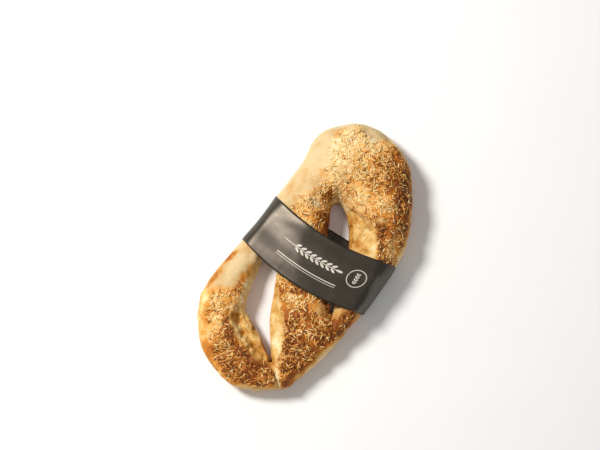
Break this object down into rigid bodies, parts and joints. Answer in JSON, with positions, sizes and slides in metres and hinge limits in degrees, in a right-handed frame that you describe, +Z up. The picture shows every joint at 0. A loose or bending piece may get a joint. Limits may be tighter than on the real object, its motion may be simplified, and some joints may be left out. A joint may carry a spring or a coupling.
{
  "type": "fougasse bread",
  "caption": "Flat leaf-shaped loaf, slit so that it bakes into open strands, its crust topped with toasted shreds, in a plain dark paper band.",
  "frame": {"origin": "under the middle of the loaf, on the surface that it rests on", "axes": "+Z up; +Y along the loaf, from its narrow foot to its broad head; +X to the right of someone who stands at the foot"},
  "size_m": [0.1472, 0.2596, 0.04],
  "materials": {
    "crust": "matte",
    "paper": "satin"
  },
  "bodies": {
    "root": {"loaf": "crust", "paper_band": "paper"}
  },
  "joints": []
}
